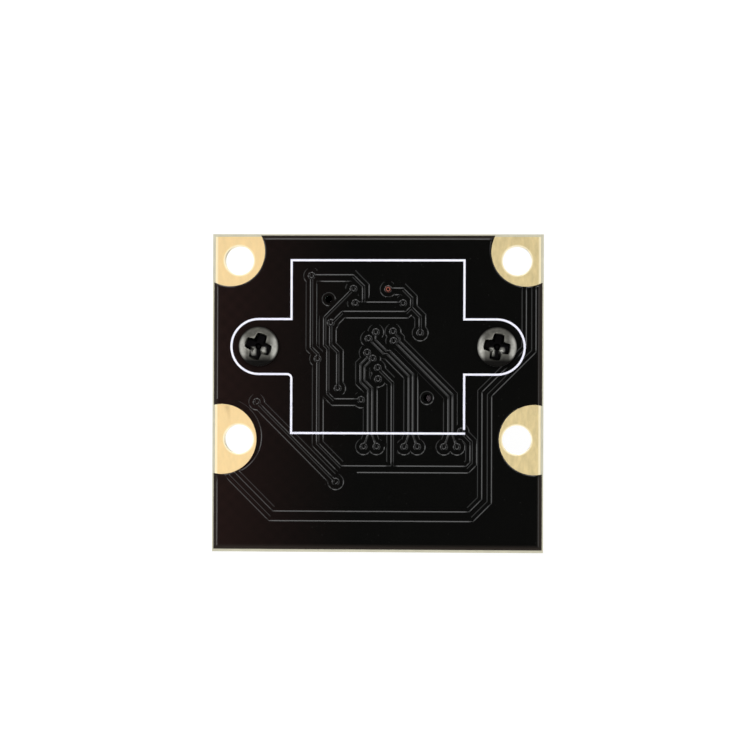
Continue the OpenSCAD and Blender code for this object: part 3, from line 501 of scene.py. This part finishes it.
def shrink_crown(mesh, width):
    """Insets the crown by a width, or by less where it is too narrow for that. Returns the
    corners at the foot and at the head of the slope this leaves."""
    crown = {f for f in mesh.faces if f.material_index == CROWN}
    inside = {e for f in crown for e in f.edges if all(g in crown for g in e.link_faces)}
    bmesh.ops.beautify_fill(mesh, faces=list(crown), edges=list(inside), method="AREA")
    crown = [f for f in mesh.faces if f.material_index == CROWN]
    made = bmesh.ops.inset_region(mesh, faces=crown, thickness=width, depth=0,
                                  use_even_offset=True, use_boundary=True)["faces"]
    inner = {v for f in crown for v in f.verts} & {v for f in made for v in f.verts}
    outer = {v for f in made for v in f.verts} - inner
    start = {v: next(e.other_vert(v).co.copy() for e in v.link_edges
                     if e.other_vert(v) in outer) for v in inner}
    for face in made:
        face.material_index = SLOPE
    for _ in range(20):
        for face in made + crown:
            face.normal_update()
        crossed = {v for f in made + crown if f.normal.y > -0.5 for v in f.verts} & inner
        if not crossed:
            break
        for vert in crossed:
            vert.co = start[vert].lerp(vert.co, 0.7)
    return outer, inner


class CAMERA_BOARD_OT_solder_mask(bpy.types.Operator):
    """Gives the rear mask slopes along its tracks, and both masks their black"""
    bl_idname = "camera_board.solder_mask"
    bl_label = "Solder mask"

    def execute(self, context):
        mesh = copy_of("rear_solder_mask", flat=None)
        bmesh.ops.remove_doubles(mesh, verts=mesh.verts, dist=5e-6)
        top = low("rear_solder_mask").y
        floor = max(v.co.y for f in mesh.faces if f.normal.y < -0.99
                    for v in f.verts if v.co.y < -1e-6)
        for face in mesh.faces:
            if face.normal.y < -0.9 and face.calc_center_median().y < top + 1e-6:
                face.material_index = CROWN
        cut_rim(mesh, 0.5 * MM)
        # Two steps of half the width each: the first is the steeper one
        foot = floor
        for rise in (0.56, 1.0):
            outer, inner = shrink_crown(mesh, sizes().mask_slope * 0.5)
            head = floor + (top - floor) * rise
            for ring, height in ((outer, foot), (inner, head)):
                for vert in ring:
                    vert.co.y = height
            foot = head
        mesh.normal_update()
        for face in mesh.faces:
            middle = face.calc_center_median()
            sunk = any(math.hypot(middle.x - LENS_AXIS.x - x * MM,
                                  middle.z - LENS_AXIS.z - z * MM) < 0.3 * MM
                       for x, z in GROUND_VIAS)
            # Slopes that face down take the duller flat finish as painted shade, so only slopes
            # facing up or sideways keep the glossier slope finish
            overhung = face.normal.z < -0.3 and face.normal.y < -0.5 and not any(
                math.hypot(middle.x - x, middle.z - z) < 0.8 * MM for x, z in ALIGNMENT_HOLES)
            if face.material_index == CROWN or sunk or overhung:
                face.material_index = FLAT
        bmesh.ops.remove_doubles(mesh, verts=mesh.verts, dist=1e-7)
        finishes = [mask_finish("Black mask", 0.02, (0.28, 0.4)),
                    mask_finish("Mask slope", 0.34, (0.18, 0.24))]
        piece = finish_piece(mesh, "mask_coat", BODY_OF["rear_solder_mask"],
                             finishes, ["rear_solder_mask"], smooth=None)
        sloped = [p.material_index == SLOPE for p in piece.data.polygons]
        piece.data.polygons.foreach_set("use_smooth", sloped)
        repaint("front_solder_mask", finishes[0])
        return {"FINISHED"}


class CAMERA_BOARD_OT_pads(bpy.types.Operator):
    """Plates the pads and lands"""
    bl_idname = "camera_board.pads"
    bl_label = "Pads and lands"

    def execute(self, context):
        gold = Finish("Gold plating", colours().gold, dark=0.9, rough=(0.3, 0.42),
                      fine=1.2e4, broad=2200.0, stretch=(1, 1, 0.4), bump=3e-7, Metallic=1.0)
        tree, x = gold.tree, gold.axis("X")
        # Darker towards the right side
        dull = blend_colours(tree, gold.tone, [c * 0.8 for c in colours().gold_dull],
                             [c * 1.12 for c in colours().gold_dull])
        side = spread(tree, x, 0, 1, 0.5 * low("pcb").x, 0.5 * high("pcb").x)
        gold.set_colour(blend_colours(tree, side, gold.base, dull))
        # Painted highlights: a pale ring round each mounting hole and a pale band along the
        # pads' outer edges
        rim = spread(tree, distance_from(gold, HOLE_X, HOLE_Z, "XZ")[0], 1, 0,
                     1.12 * MM, 1.24 * MM)
        outer_edge = high("plated_pads").x
        edge = spread(tree, calc(tree, "ABSOLUTE", x), 0, 0.7, outer_edge - 0.22 * MM,
                      outer_edge - 0.12 * MM)
        gold.set_colour(blend_colours(tree, calc(tree, "MAXIMUM", rim, edge), gold.base,
                                      colours().gold_highlight))
        mesh = copy_of("plated_pads")
        round_edges(mesh, sharp_edges(mesh, math.radians(60)), sizes().plate_edge, 2)
        finish_piece(mesh, "gold_pads", "board", [gold], ["plated_pads"])
        repaint("solder_lands", tin_finish())
        return {"FINISHED"}


class CAMERA_BOARD_OT_print(bpy.types.Operator):
    """Inks the printed outline"""
    bl_idname = "camera_board.print"
    bl_label = "Printed outline"

    def execute(self, context):
        ink = Finish("White ink", colours().ink, dark=0.9, rough=(0.5, 0.7), fine=1.5e4,
                     broad=4000.0, bump=2e-6)
        repaint("rear_silkscreen", ink)
        return {"FINISHED"}


class CAMERA_BOARD_OT_open_vias(bpy.types.Operator):
    """Sets a ring of bare copper into the via that the mask leaves open"""
    bl_idname = "camera_board.open_vias"
    bl_label = "Open via"

    def execute(self, context):
        copper = Finish("Bare copper", colours().copper, dark=0.7, rough=(0.2, 0.35),
                        fine=3e4, broad=4e3, bump=5e-7, Metallic=1.0)
        inner, outer = 0.1, 0.24
        at = Vector((0.77 * MM, low("rear_solder_mask").y, 4.6 * MM))
        mesh = bmesh.new()
        ring = [mesh.verts.new(at + Vector((r * MM, y * MM, 0)))
                for r, y in ((inner, 0.028), (inner, 0.008), (outer, 0.002), (outer, 0.028))]
        edges = [mesh.edges.new(pair) for pair in zip(ring, ring[1:] + ring[:1])]
        bmesh.ops.spin(mesh, geom=ring + edges, cent=at, axis=(0, 1, 0), dvec=(0, 0, 0),
                       angle=2 * math.pi, steps=32, use_merge=True)
        bmesh.ops.recalc_face_normals(mesh, faces=mesh.faces)
        finish_piece(mesh, "open_vias", "board", [copper])
        return {"FINISHED"}


# ---------- lens holder ----------

class CAMERA_BOARD_OT_screws(bpy.types.Operator):
    """Rounds the screws' heads and cross recesses, blackens them and paints light and shade on
    them
    """
    bl_idname = "camera_board.screws"
    bl_label = "Holder screws"

    def execute(self, context):
        def steel_finish(name, base):
            return Finish(name, base, dark=0.6, rough=(0.28, 0.4), fine=1.5e4, broad=3000.0,
                          bump=6e-7, Metallic=1.0)

        steel = steel_finish("Blackened steel", colours().screw)
        tree = steel.tree
        off, across, up = distance_from(steel, SCREW_X, LENS_AXIS.z, "X")
        sideways = calc(tree, "ABSOLUTE", across)
        patchy = spread(tree, steel.tone, 0.55, 1.0)
        # Painted light: the upper part of the head is painted grey and its sides carry painted
        # highlights, so the lower part stays dark as painted shade
        thin_edge_and_lit_head = calc(tree, "MULTIPLY", spread(tree, up, 0, 1, -1.1 * MM, -0.6 * MM),
                    spread(tree, off, 1, 0, 1.35 * MM, 1.5 * MM))
        steel.set_colour(blend_colours(tree, calc(tree, "MULTIPLY", thin_edge_and_lit_head, patchy),
                                       steel.base, colours().screw_lit))
        # Painted highlights at the sides of the head
        side_highlight = calc(tree, "MULTIPLY", spread(tree, sideways, 0, 1, 0.85 * MM, 1.2 * MM),
                    calc(tree, "MULTIPLY", thin_edge_and_lit_head, spread(tree, up, 1, 0, 0.5 * MM, 1 * MM)))
        steel.set_colour(blend_colours(tree, calc(tree, "MULTIPLY", side_highlight, patchy),
                                       steel.base, colours().screw_highlight))
        pit = steel_finish("Recess in shade", colours().pit)
        tree = pit.tree
        off, across, up = distance_from(pit, SCREW_X, LENS_AXIS.z, "X")
        # Painted highlights on the flanks of the recess's lower half
        flanks = calc(tree, "ABSOLUTE", calc(tree, "SUBTRACT", calc(
            tree, "ABSOLUTE", across), 0.38 * MM))
        level = calc(tree, "ABSOLUTE", calc(tree, "ADD", up, 0.36 * MM))
        flank_highlight = calc(tree, "MULTIPLY", spread(tree, flanks, 0.55, 0, 0.05 * MM, 0.25 * MM),
                      spread(tree, level, 1, 0, 0.1 * MM, 0.38 * MM))
        pit.set_colour(blend_colours(tree, flank_highlight, pit.base, colours().screw_highlight))
        # The recess's rounded lip is painted grey as a painted highlight
        lip = steel_finish("Lip highlight", colours().screw_lit)
        finishes = [steel, pit, lip]
        mesh = copy_of("holder_screws", math.radians(0.5))
        edges = sharp_edges(mesh, math.radians(30), lambda e: max(
            v.co.y for v in e.verts) < -0.5 * MM)
        rounded = set(round_edges(mesh, edges, sizes().screw_edge, 3))
        # The recess is what lies inside the head's rim and below its domed top
        crest, dome, rim = low("holder_screws").y, 2.056 * MM, 1.35 * MM
        for face in mesh.faces:
            middle = face.calc_center_median()
            off = min(math.hypot(middle.x - x, middle.z - LENS_AXIS.z)
                      for x in (-SCREW_X, SCREW_X))
            # Painted highlight on the recess's rounded lip
            if off < rim and face in rounded:
                face.material_index = finishes.index(lip)
            elif off < rim and middle.y > crest + off ** 2 / (2 * dome) + 0.06 * MM:
                face.material_index = finishes.index(pit)
        finish_piece(mesh, "pan_head_screws", "board", finishes,
                     ["holder_screws"], smooth=math.radians(40))
        return {"FINISHED"}


class CAMERA_BOARD_OT_lens_holder(bpy.types.Operator):
    """Rounds the moulded lens holder's edges and grains it"""
    bl_idname = "camera_board.lens_holder"
    bl_label = "Lens holder"

    def execute(self, context):
        moulded = Finish("Moulded black plastic", colours().holder, dark=0.75,
                         rough=(0.42, 0.6), fine=1.6e4, broad=500.0, bump=3e-6, specks=0.1)
        dress("lens_holder", "holder_moulding", sizes().moulded_edge, moulded, 3)
        return {"FINISHED"}


class CAMERA_BOARD_OT_barrel(bpy.types.Operator):
    """Rounds the lens barrel's edges and cuts its focusing thread"""
    bl_idname = "camera_board.barrel"
    bl_label = "Lens barrel"

    def execute(self, context):
        anodised = Finish("Black anodised aluminium", colours().barrel, dark=0.75,
                          rough=(0.3, 0.45), fine=2.5e4, broad=800.0, stretch=(1, 4, 1),
                          bump=8e-7, specks=0.08, Metallic=0.85)
        mesh = copy_of("lens_barrel")
        round_edges(mesh, sharp_edges(mesh), sizes().barrel_edge, 2)
        crest, depth, pitch = 6 * MM, sizes().thread_depth, sizes().thread_pitch
        shoulder = high("lens_holder").y + 1 * MM
        # The neck goes down to the thread's root, and a ridge is wound round it
        for vert in mesh.verts:
            arm = Vector((vert.co.x - LENS_AXIS.x, 0, vert.co.z - LENS_AXIS.z))
            if abs(arm.length - crest) < 0.1 * MM and vert.co.y < shoulder + 0.01 * MM:
                vert.co -= arm.normalized() * depth
        finish_piece(mesh, "barrel_turning", "barrel", [anodised],
                     ["lens_barrel"])
        start = low("lens_barrel").y + 0.3 * MM
        turns = int((shoulder - start) / pitch) - 1
        flank = pitch * 0.46
        root = crest - depth - 0.02 * MM
        ridge = turned([(root, start), (crest, start + flank * 0.9),
                        (crest, start + flank * 1.1), (root, start + flank * 2)],
                       steps=72 * turns, angle=2 * math.pi * turns, climb=pitch * turns)
        finish_piece(ridge, "focus_thread", "barrel", [anodised])
        dress("lens_retaining_ring", "retaining_ring", sizes().ring_edge, anodised, 2)
        for node in ("lens_spacer", "aperture_stop"):
            repaint(node, anodised)
        return {"FINISHED"}


def glass_finish(name, tint, index, coat, reflect=0.5):
    """Clear glass with a coating. The tint is a transmission colour."""
    finish = Finish(name, tint, dark=0.97, rough=(0.0, 0.015), fine=3e3, broad=300.0,
                    bump=0, Transmission_Weight=1.0, IOR=index,
                    Specular_IOR_Level=reflect)
    finish.shader.inputs["Specular Tint"].default_value = (*coat, 1)
    return finish


class CAMERA_BOARD_OT_glass(bpy.types.Operator):
    """Gives the lens elements, the filter and the sensor their glass"""
    bl_idname = "camera_board.glass"
    bl_label = "Glass and sensor"

    def execute(self, context):
        element = glass_finish("Coated lens glass", (0.93, 0.97, 0.95), 1.6, (0.35, 0.55, 0.9))
        for node in ("front_lens", "middle_lens", "rear_lens"):
            mesh = copy_of(node, math.radians(0.2))
            finish_piece(mesh, node.replace("lens", "element"), BODY_OF[node],
                         [element], [node], smooth=math.radians(30))
        repaint("ir_cut_filter", glass_finish("Infrared filter", (0.6, 0.93, 0.88), 1.52,
                                              (0.6, 0.5, 0.55), 0.2))
        repaint("sensor_cover_glass", glass_finish("Cover glass", (0.95, 0.97, 0.97), 1.5,
                                                   (0.8, 0.9, 1.0), 0.2))
        silicon = Finish("Sensor silicon", (0.05, 0.04, 0.09), dark=0.6, rough=(0.15, 0.25),
                         fine=2e4, broad=1500.0, bump=2e-7, Metallic=0.6)
        cells = put(silicon.tree, "ShaderNodeTexChecker", {
            "Vector": silicon.where, "Scale": 4e4,
            "Color1": (0.16, 0.10, 0.07, 1), "Color2": (0.05, 0.11, 0.10, 1)})
        silicon.set_colour(blend_colours(silicon.tree, 0.5, silicon.base,
                                         cells.outputs["Color"]))
        repaint("image_sensor", silicon)
        return {"FINISHED"}


# ---------- connector and chips ----------

def tin_finish():
    """The tinned metal that several pieces share."""
    if not hasattr(tin_finish, "made"):
        tin_finish.made = Finish("Tin", colours().tin, dark=0.85, rough=(0.2, 0.38),
                                 fine=1.5e4, broad=3e3, bump=1.5e-6, Metallic=1.0)
    return tin_finish.made


class CAMERA_BOARD_OT_connector(bpy.types.Operator):
    """Rounds and colours the flat cable connector"""
    bl_idname = "camera_board.connector"
    bl_label = "Flat cable connector"

    def execute(self, context):
        ivory = Finish("Ivory plastic", colours().housing, dark=0.9, rough=(0.4, 0.55),
                       fine=1.5e4, broad=700.0, bump=1.5e-6, Subsurface_Weight=0.15,
                       Subsurface_Scale=2e-4)
        dark = Finish("Dark plastic", colours().latch, dark=0.75, rough=(0.4, 0.55),
                      fine=1.5e4, broad=900.0, bump=1.5e-6)
        dress("ffc_housing", "connector_housing", sizes().small_edge, ivory)
        dress("ffc_latch", "connector_latch", sizes().small_edge, dark)
        springs = Finish("Plated spring metal", (0.80, 0.66, 0.40), dark=0.9,
                         rough=(0.22, 0.34), fine=1.5e4, broad=2e3, bump=5e-7, Metallic=1.0)
        dress("ffc_contacts", "contact_springs", sizes().contact_edge, springs)
        dress("ffc_solder_tabs", "hold_down_tabs", sizes().tab_edge, tin_finish())
        dress("regulator_bodies", "regulator_mouldings", sizes().chip_edge, dark)
        return {"FINISHED"}


class CAMERA_BOARD_OT_chips(bpy.types.Operator):
    """Rounds and colours the small parts on the front"""
    bl_idname = "camera_board.chips"
    bl_label = "Small parts"

    def execute(self, context):
        edge = sizes().chip_edge
        ceramic = Finish("Capacitor ceramic", (0.40, 0.25, 0.13), dark=0.8, rough=(0.35, 0.5),
                         fine=2e4, broad=1500.0, bump=1e-6)
        coat = Finish("Resistor coat", (0.012, 0.012, 0.014), dark=0.7, rough=(0.2, 0.35),
                      fine=2e4, broad=2500.0, bump=1e-6)
        base = Finish("Oscillator ceramic", (0.60, 0.50, 0.30), dark=0.85, rough=(0.5, 0.65),
                      fine=2e4, broad=1500.0, bump=1e-6)
        lid = Finish("Oscillator lid", (0.66, 0.64, 0.58), dark=0.9, rough=(0.25, 0.4),
                     fine=1.5e4, broad=2e3, stretch=(0.2, 1, 1), bump=6e-7, Metallic=1.0)
        dress("capacitors", "capacitor_blocks", edge / 2, ceramic)
        dress("resistors", "resistor_blocks", edge / 2, coat)
        dress("capacitor_ends", "capacitor_caps", edge, tin_finish())
        dress("resistor_ends", "resistor_caps", edge, tin_finish())
        dress("regulator_leads", "regulator_legs", sizes().leg_edge, tin_finish())
        dress("oscillator_base", "oscillator_tray", edge, base)
        dress("oscillator_lid", "oscillator_cover", sizes().lid_edge, lid, 3)
        return {"FINISHED"}


# ---------- stage ----------

def aim(thing, target):
    """Turns a lamp or camera towards a place."""
    thing.rotation_euler = (Vector(target) - thing.location).to_track_quat("-Z", "Y").to_euler()


def lamp(name, place, target, size, watts):
    """A round white area lamp, aimed at a place."""
    data = bpy.data.lights.new(name, "AREA")
    data.shape, data.size, data.energy = "DISK", size, watts
    made = bpy.data.objects.new(name, data)
    made.location = place
    aim(made, target)
    bpy.context.scene.collection.objects.link(made)


def seen_directly(tree):
    """1 on rays from the camera and on mirrored and refracted ones."""
    path = put(tree, "ShaderNodeLightPath").outputs
    return calc(tree, "MAXIMUM", path["Is Camera Ray"],
                calc(tree, "MAXIMUM", path["Is Glossy Ray"], path["Is Transmission Ray"]))


def ground(name, corners, one_sided):
    """A plain pale plane that keeps a faint shadow. A one-sided one shows only to the
    camera, and only from its front."""
    mesh = bmesh.new()
    mesh.faces.new([mesh.verts.new(c) for c in corners])
    data = bpy.data.meshes.new(name)
    mesh.to_mesh(data)
    mesh.free()
    made = bpy.data.objects.new(name, data)
    bpy.context.scene.collection.objects.link(made)
    material = bpy.data.materials.new(name)
    material.use_nodes = True
    tree = material.node_tree
    tree.nodes.clear()
    matt = put(tree, "ShaderNodeBsdfDiffuse", {"Color": (0.22, 0.22, 0.22, 1)})
    white = put(tree, "ShaderNodeEmission", {"Color": (1, 1, 1, 1), "Strength": 0.84})
    pale = put(tree, "ShaderNodeAddShader", {0: matt.outputs[0], 1: white.outputs[0]})
    plain = put(tree, "ShaderNodeBsdfDiffuse", {"Color": (0.8, 0.8, 0.8, 1)})
    last = put(tree, "ShaderNodeMixShader", {
        0: seen_directly(tree), 1: plain.outputs[0], 2: pale.outputs[0]})
    if one_sided:
        clear = put(tree, "ShaderNodeBsdfTransparent")
        path = put(tree, "ShaderNodeLightPath").outputs
        front = calc(tree, "SUBTRACT", 1.0,
                     put(tree, "ShaderNodeNewGeometry").outputs["Backfacing"])
        shown = calc(tree, "MULTIPLY", path["Is Camera Ray"], front)
        last = put(tree, "ShaderNodeMixShader", {0: shown, 1: clear.outputs[0],
                                                 2: pale.outputs[0]})
    put(tree, "ShaderNodeOutputMaterial", {"Surface": last.outputs[0]})
    data.materials.append(material)


class CAMERA_BOARD_OT_stage(bpy.types.Operator):
    """Sets up the pale floor and backdrop, the lamps, the surroundings and the camera"""
    bl_idname = "camera_board.stage"
    bl_label = "Stage"

    def execute(self, context):
        scene = context.scene
        scene.view_settings.view_transform = "Standard"
        world = bpy.data.worlds.new("Surroundings")
        scene.world = world
        world.use_nodes = True
        tree = world.node_tree
        tree.nodes.clear()
        path = put(tree, "ShaderNodeLightPath").outputs
        direction = put(tree, "ShaderNodeSeparateXYZ", {
            "Vector": put(tree, "ShaderNodeTexCoord").outputs["Generated"]}).outputs["Y"]
        mirrored = spread(tree, direction, 0.2, 1.0, -0.65, -0.2)
        ambient = 0.4
        studio = calc(tree, "ADD", ambient, calc(tree, "MULTIPLY", path["Is Glossy Ray"],
                                                 calc(tree, "SUBTRACT", mirrored, ambient)))
        strength = calc(tree, "MAXIMUM", studio, calc(
            tree, "MAXIMUM", path["Is Camera Ray"], path["Is Transmission Ray"]))
        light = put(tree, "ShaderNodeBackground", {"Color": (1, 1, 1, 1),
                                                   "Strength": strength})
        put(tree, "ShaderNodeOutputWorld", {"Surface": light.outputs[0]})

        centre = (CAD_BOX[0] + CAD_BOX[1]) / 2
        far, down = 0.6, -0.045
        ground("floor", [(-far, -far, down), (far, -far, down), (far, far, down),
                         (-far, far, down)], False)
        back = CAD_BOX[1].y + 6.5 * MM
        ground("backdrop", [(-far, back, down), (far, back, down), (far, back, far),
                            (-far, back, far)], True)
        for turn, watts in ((0, 0.06), (45, 0.14), (90, 0.26), (135, 0.16), (180, 0.22),
                            (225, 0.1)):
            across = Vector((math.cos(math.radians(turn)), 0, math.sin(math.radians(turn))))
            place = centre + 0.235 * across + Vector((0, -0.246, 0))
            lamp("arc_%d" % turn, place, centre, 0.145, watts)
        lamp("face", centre + Vector((-0.02, -0.4, 0)), centre, 0.2, 0.122)
        lamp("front_fill", centre + Vector((-0.10, 0.30, 0.22)), centre, 0.2, 0.8)

        target = Vector((-0.0002, 0, -0.00188))
        distance, right, down_by = 0.22, math.radians(2.8), math.radians(0.5)
        data = bpy.data.cameras.new("camera")
        data.lens, data.sensor_width = 139.9, 36
        camera = bpy.data.objects.new("camera", data)
        camera.location = target + distance * Vector((
            math.sin(right) * math.cos(down_by), -math.cos(right) * math.cos(down_by),
            -math.sin(down_by)))
        turn = (target - camera.location).to_track_quat("-Z", "Y").to_matrix().to_4x4()
        camera.rotation_euler = (turn @ Matrix.Rotation(math.radians(0.2), 4, "Z")).to_euler()
        data.clip_start, data.clip_end = 0.005, 5
        scene.collection.objects.link(camera)
        scene.camera = camera
        return {"FINISHED"}


class CAMERA_BOARD_PT_panel(bpy.types.Panel):
    """Lists the steps that build the camera board's looks"""
    bl_idname = "CAMERA_BOARD_PT_panel"
    bl_label = "Camera board"
    bl_space_type = "VIEW_3D"
    bl_region_type = "UI"
    bl_category = "Camera board"

    def draw(self, context):
        for operator in OPERATORS:
            self.layout.operator(operator.bl_idname)
        for group in (context.scene.camera_board_sizes, context.scene.camera_board_colours):
            box = self.layout.box()
            for name in group.bl_rna.properties.keys():
                if name not in ("rna_type", "name"):
                    box.prop(group, name)


GROUPS = [CameraBoardSizes, CameraBoardColours]
OPERATORS = [
    CAMERA_BOARD_OT_stage, CAMERA_BOARD_OT_laminate, CAMERA_BOARD_OT_solder_mask,
    CAMERA_BOARD_OT_pads, CAMERA_BOARD_OT_print, CAMERA_BOARD_OT_open_vias,
    CAMERA_BOARD_OT_screws, CAMERA_BOARD_OT_lens_holder, CAMERA_BOARD_OT_barrel,
    CAMERA_BOARD_OT_glass, CAMERA_BOARD_OT_connector, CAMERA_BOARD_OT_chips,
]


def register():
    for item in GROUPS + OPERATORS + [CAMERA_BOARD_PT_panel]:
        bpy.utils.register_class(item)
    bpy.types.Scene.camera_board_sizes = PointerProperty(type=CameraBoardSizes)
    bpy.types.Scene.camera_board_colours = PointerProperty(type=CameraBoardColours)


def unregister():
    del bpy.types.Scene.camera_board_colours
    del bpy.types.Scene.camera_board_sizes
    for item in reversed(GROUPS + OPERATORS + [CAMERA_BOARD_PT_panel]):
        bpy.utils.unregister_class(item)


def main():
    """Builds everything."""
    register()
    for operator in OPERATORS:
        group, name = operator.bl_idname.split(".")
        getattr(getattr(bpy.ops, group), name)()


if __name__ == "__main__":
    main()
